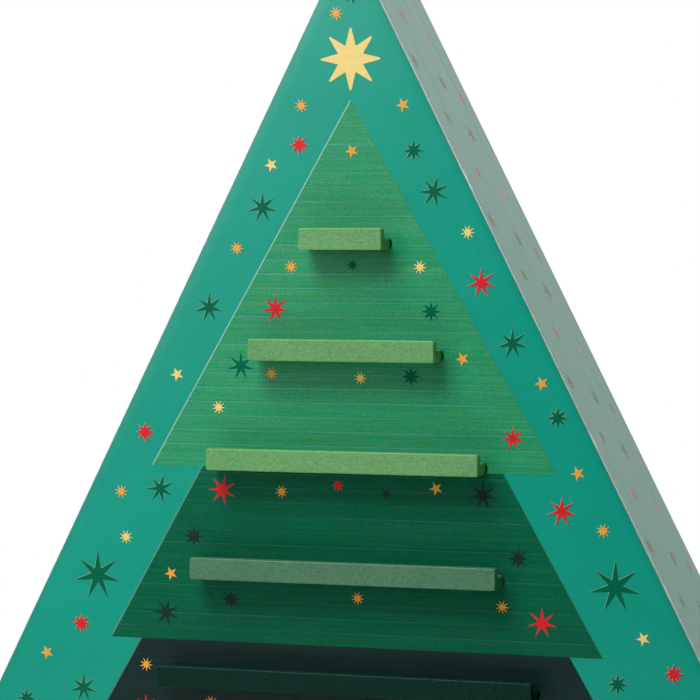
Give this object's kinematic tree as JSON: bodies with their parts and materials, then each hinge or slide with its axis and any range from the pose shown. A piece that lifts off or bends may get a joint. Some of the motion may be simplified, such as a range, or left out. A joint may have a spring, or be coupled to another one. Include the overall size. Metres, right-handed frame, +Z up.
{
  "type": "triangular advent calendar with ledges",
  "caption": "Free-standing triangular wooden box with a printed fir tree and stars, whose front carries lipped push-in ledges that hold small gifts, one row below another.",
  "frame": {"origin": "centre of the base board's underside, half way through the box's depth", "axes": "+Z up, -Y out of the printed front, +X to the right of someone facing the front"},
  "size_m": [0.4994, 0.094, 0.4995],
  "materials": {
    "front_paint": "painted and printed, satin",
    "side_paint": "painted and printed, satin",
    "back_board": "bare hardboard",
    "bare_wood": "bare pine",
    "ledge_light_green": "sprayed satin paint",
    "ledge_mid_green": "sprayed satin paint",
    "ledge_dark_green": "sprayed satin paint",
    "screw_steel": "zinc plated"
  },
  "bodies": {
    "box": {"front_panel": "front_paint", "left_side": "side_paint", "right_side": "side_paint", "base_panel": "side_paint", "back_panel": "back_board", "left_batten": "bare_wood", "right_batten": "bare_wood", "base_batten": "bare_wood", "apex_block": "bare_wood", "back_screws": "screw_steel"},
    "ledge_1": {"ledge_1_board": "ledge_light_green", "ledge_1_lip": "ledge_light_green"},
    "ledge_2": {"ledge_2_board": "ledge_light_green", "ledge_2_lip": "ledge_light_green"},
    "ledge_3": {"ledge_3_board": "ledge_light_green", "ledge_3_lip": "ledge_light_green"},
    "ledge_4": {"ledge_4_board": "ledge_mid_green", "ledge_4_lip": "ledge_mid_green"},
    "ledge_5": {"ledge_5_board": "ledge_dark_green", "ledge_5_lip": "ledge_dark_green"},
    "ledge_6": {"ledge_6_board": "ledge_dark_green", "ledge_6_lip": "ledge_dark_green"},
    "ledge_7": {"ledge_7_board": "ledge_dark_green", "ledge_7_lip": "ledge_dark_green"}
  },
  "joints": [
    {"name": "ledge_1_pull", "type": "slide", "parent": "box", "child": "ledge_1", "axis": [0, -1, 0], "range_m": [0, 0.012]},
    {"name": "ledge_2_pull", "type": "slide", "parent": "box", "child": "ledge_2", "axis": [0, -1, 0], "range_m": [0, 0.012]},
    {"name": "ledge_3_pull", "type": "slide", "parent": "box", "child": "ledge_3", "axis": [0, -1, 0], "range_m": [0, 0.012]},
    {"name": "ledge_4_pull", "type": "slide", "parent": "box", "child": "ledge_4", "axis": [0, -1, 0], "range_m": [0, 0.012]},
    {"name": "ledge_5_pull", "type": "slide", "parent": "box", "child": "ledge_5", "axis": [0, -1, 0], "range_m": [0, 0.012]},
    {"name": "ledge_6_pull", "type": "slide", "parent": "box", "child": "ledge_6", "axis": [0, -1, 0], "range_m": [0, 0.012]},
    {"name": "ledge_7_pull", "type": "slide", "parent": "box", "child": "ledge_7", "axis": [0, -1, 0], "range_m": [0, 0.012]}
  ]
}
